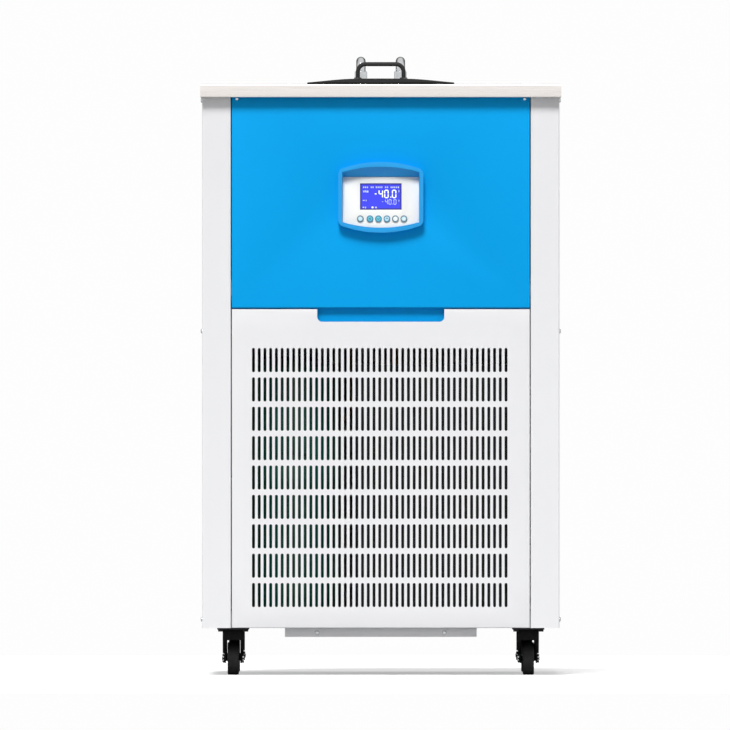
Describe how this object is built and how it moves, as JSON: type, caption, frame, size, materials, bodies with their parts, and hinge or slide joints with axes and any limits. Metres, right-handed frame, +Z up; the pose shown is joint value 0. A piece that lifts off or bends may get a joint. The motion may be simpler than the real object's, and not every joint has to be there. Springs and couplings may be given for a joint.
{
  "type": "recirculating chiller",
  "caption": "Floor-standing recirculating chiller on swivel casters, with a slotted front grille, sloping control pod, stainless deck, lidded bath and two bent hose nozzles.",
  "frame": {"origin": "on the floor at the middle of the footprint, under the casters", "axes": "+X to the right seen from the front, +Y to the rear, +Z up; the control pod faces -Y"},
  "size_m": [0.55, 0.62, 0.946],
  "materials": {
    "cabinet_paint": "textured powder coat, satin",
    "blue_paint": "powder coat, satin",
    "blue_plastic": "moulded, fine texture",
    "light_plastic": "moulded, satin",
    "key_plastic": "moulded, smooth",
    "display_screen": "backlit screen, smooth",
    "circuit_board": "solder mask",
    "brushed_stainless": "brushed",
    "satin_stainless": "satin",
    "polished_stainless": "polished",
    "black_plastic": "moulded, satin",
    "handle_plastic": "moulded, fine texture",
    "galvanised_steel": "galvanised",
    "grey_paint": "powder coat",
    "copper": "drawn copper",
    "insulation_foam": "closed-cell foam",
    "motor_paint": "semi-gloss paint",
    "compressor_paint": "semi-gloss paint",
    "pad_rubber": "moulded",
    "condenser_fins": "black-coated fins",
    "shroud_paint": "black paint",
    "fan_plastic": "moulded",
    "plated_brass": "nickel-plated",
    "caster_steel": "black zinc plate",
    "caster_plastic": "moulded nylon",
    "caster_tread": "moulded tread"
  },
  "bodies": {
    "cabinet": {"side_panel_left": "cabinet_paint", "side_panel_right": "cabinet_paint", "rear_panel": "cabinet_paint", "upper_front_panel": "blue_paint", "notch_backing": "blue_paint", "pod_bezel": "blue_plastic", "display_fascia": "light_plastic", "display": "display_screen", "controller_board": "circuit_board", "top_deck": "brushed_stainless", "bath_tank": "satin_stainless", "return_pipe": "polished_stainless", "delivery_pipe": "polished_stainless", "suction_pipe": "satin_stainless", "lid": "black_plastic", "lid_handle": "handle_plastic", "base_pan": "galvanised_steel", "bath_shelf": "galvanised_steel", "fan_bracket": "galvanised_steel", "control_box": "galvanised_steel", "drip_tray": "grey_paint", "evaporator": "copper", "bath_insulation": "insulation_foam", "circulation_pump": "satin_stainless", "pump_motor": "motor_paint", "compressor": "compressor_paint", "compressor_pads": "pad_rubber", "condenser": "condenser_fins", "fan_shroud": "shroud_paint", "fan_motor": "motor_paint", "cable_gland": "black_plastic", "drain_plug": "plated_brass", "caster_plates": "caster_steel"},
    "grille_door": {"front_grille": "cabinet_paint"},
    "fan_rotor": {"condenser_fan": "fan_plastic"},
    "fork_1": {"caster_fork_1": "caster_plastic"},
    "wheel_1": {"caster_wheel_1": "caster_tread"},
    "fork_2": {"caster_fork_2": "caster_plastic"},
    "wheel_2": {"caster_wheel_2": "caster_tread"},
    "fork_3": {"caster_fork_3": "caster_plastic"},
    "wheel_3": {"caster_wheel_3": "caster_tread"},
    "fork_4": {"caster_fork_4": "caster_plastic"},
    "wheel_4": {"caster_wheel_4": "caster_tread"},
    "key_cap_1": {"key_1": "key_plastic"},
    "key_cap_2": {"key_2": "key_plastic"},
    "key_cap_3": {"key_3": "key_plastic"},
    "key_cap_4": {"key_4": "key_plastic"},
    "key_cap_5": {"key_5": "key_plastic"},
    "key_cap_6": {"key_6": "key_plastic"}
  },
  "joints": [
    {"name": "grille_hinge", "type": "hinge", "parent": "cabinet", "child": "grille_door", "pos_m": [0, -0.295, 0.0723], "axis": [1, 0, 0], "range_deg": [0, 15]},
    {"name": "fan_spin", "type": "hinge", "parent": "cabinet", "child": "fan_rotor", "pos_m": [0.092, -0.15, 0.2735], "axis": [0, 1, 0], "continuous": true},
    {"name": "caster_swivel_1", "type": "hinge", "parent": "cabinet", "child": "fork_1", "pos_m": [-0.225, -0.235, 0.0692], "axis": [0, 0, 1], "continuous": true},
    {"name": "wheel_spin_1", "type": "hinge", "parent": "fork_1", "child": "wheel_1", "pos_m": [-0.225, -0.213, 0.025], "axis": [1, 0, 0], "continuous": true},
    {"name": "caster_swivel_2", "type": "hinge", "parent": "cabinet", "child": "fork_2", "pos_m": [0.225, -0.235, 0.0692], "axis": [0, 0, 1], "continuous": true},
    {"name": "wheel_spin_2", "type": "hinge", "parent": "fork_2", "child": "wheel_2", "pos_m": [0.225, -0.213, 0.025], "axis": [1, 0, 0], "continuous": true},
    {"name": "caster_swivel_3", "type": "hinge", "parent": "cabinet", "child": "fork_3", "pos_m": [-0.225, 0.235, 0.0692], "axis": [0, 0, 1], "continuous": true},
    {"name": "wheel_spin_3", "type": "hinge", "parent": "fork_3", "child": "wheel_3", "pos_m": [-0.225, 0.257, 0.025], "axis": [1, 0, 0], "continuous": true},
    {"name": "caster_swivel_4", "type": "hinge", "parent": "cabinet", "child": "fork_4", "pos_m": [0.225, 0.235, 0.0692], "axis": [0, 0, 1], "continuous": true},
    {"name": "wheel_spin_4", "type": "hinge", "parent": "fork_4", "child": "wheel_4", "pos_m": [0.225, 0.257, 0.025], "axis": [1, 0, 0], "continuous": true},
    {"name": "key_press_1", "type": "slide", "parent": "cabinet", "child": "key_cap_1", "axis": [0, 0.989, -0.1478], "range_m": [0, 0.0007], "stiffness_N_per_m": 300, "springref_m": -0.001},
    {"name": "key_press_2", "type": "slide", "parent": "cabinet", "child": "key_cap_2", "axis": [0, 0.989, -0.1478], "range_m": [0, 0.0007], "stiffness_N_per_m": 300, "springref_m": -0.001},
    {"name": "key_press_3", "type": "slide", "parent": "cabinet", "child": "key_cap_3", "axis": [0, 0.989, -0.1478], "range_m": [0, 0.0007], "stiffness_N_per_m": 300, "springref_m": -0.001},
    {"name": "key_press_4", "type": "slide", "parent": "cabinet", "child": "key_cap_4", "axis": [0, 0.989, -0.1478], "range_m": [0, 0.0007], "stiffness_N_per_m": 300, "springref_m": -0.001},
    {"name": "key_press_5", "type": "slide", "parent": "cabinet", "child": "key_cap_5", "axis": [0, 0.989, -0.1478], "range_m": [0, 0.0007], "stiffness_N_per_m": 300, "springref_m": -0.001},
    {"name": "key_press_6", "type": "slide", "parent": "cabinet", "child": "key_cap_6", "axis": [0, 0.989, -0.1478], "range_m": [0, 0.0007], "stiffness_N_per_m": 300, "springref_m": -0.001}
  ]
}
